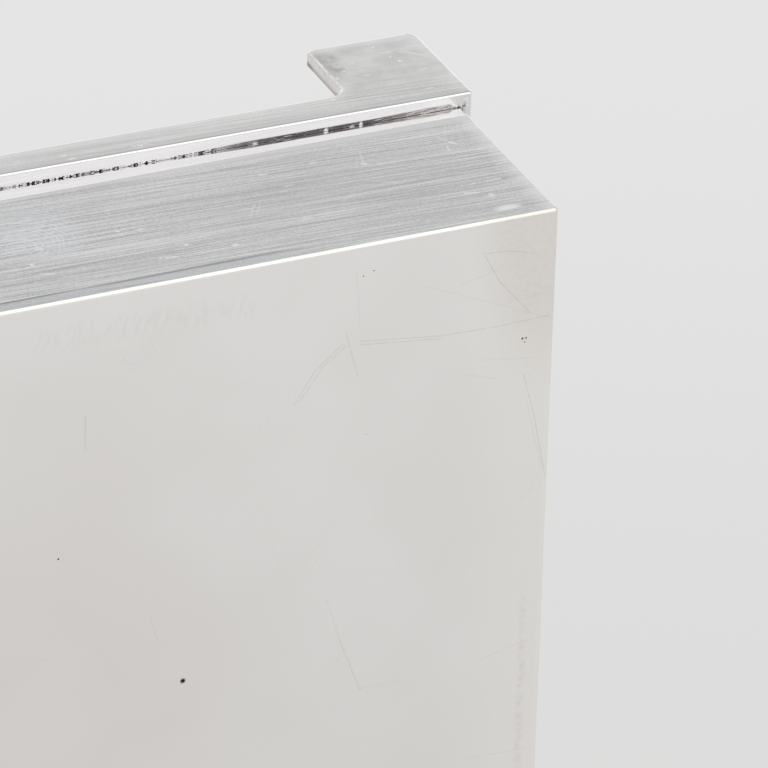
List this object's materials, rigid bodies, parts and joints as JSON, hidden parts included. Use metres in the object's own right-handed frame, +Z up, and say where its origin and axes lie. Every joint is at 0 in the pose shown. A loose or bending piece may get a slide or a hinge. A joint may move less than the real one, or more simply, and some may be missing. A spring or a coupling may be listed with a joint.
{
  "type": "lidded box",
  "caption": "Low rectangular metal box with a loose overlapping lid that has upright corner tabs, and a cedar lining.",
  "frame": {"origin": "middle of the base plate's underside, on the surface that the box stands on", "axes": "+Z up through the lid, +X along the box's length to the end in the picture, +Y from the pictured long wall to the opposite wall"},
  "size_m": [0.1702, 0.0914, 0.0393],
  "materials": {
    "polished_plate": "silver plate, mirror polished, with fine scratches",
    "brushed_plate": "silver plate, brushed along its length",
    "cedar": "plain sanded cedar, straight grain"
  },
  "bodies": {
    "box": {"base_plate": "polished_plate", "front_wall": "brushed_plate", "back_wall": "brushed_plate", "left_wall": "brushed_plate", "right_wall": "brushed_plate", "cedar_floor": "cedar", "cedar_front_board": "cedar", "cedar_back_board": "cedar", "cedar_left_board": "cedar", "cedar_right_board": "cedar", "cedar_divider": "cedar"},
    "lid": {"lid_top_plate": "polished_plate", "lid_front_rail": "brushed_plate", "lid_back_rail": "brushed_plate", "lid_left_rail": "brushed_plate", "lid_right_rail": "brushed_plate", "lid_cedar_panel": "cedar"}
  },
  "joints": [
    {"name": "lid_lift", "type": "slide", "parent": "box", "child": "lid", "axis": [0, 0, 1], "range_m": [0, 0.06]}
  ]
}
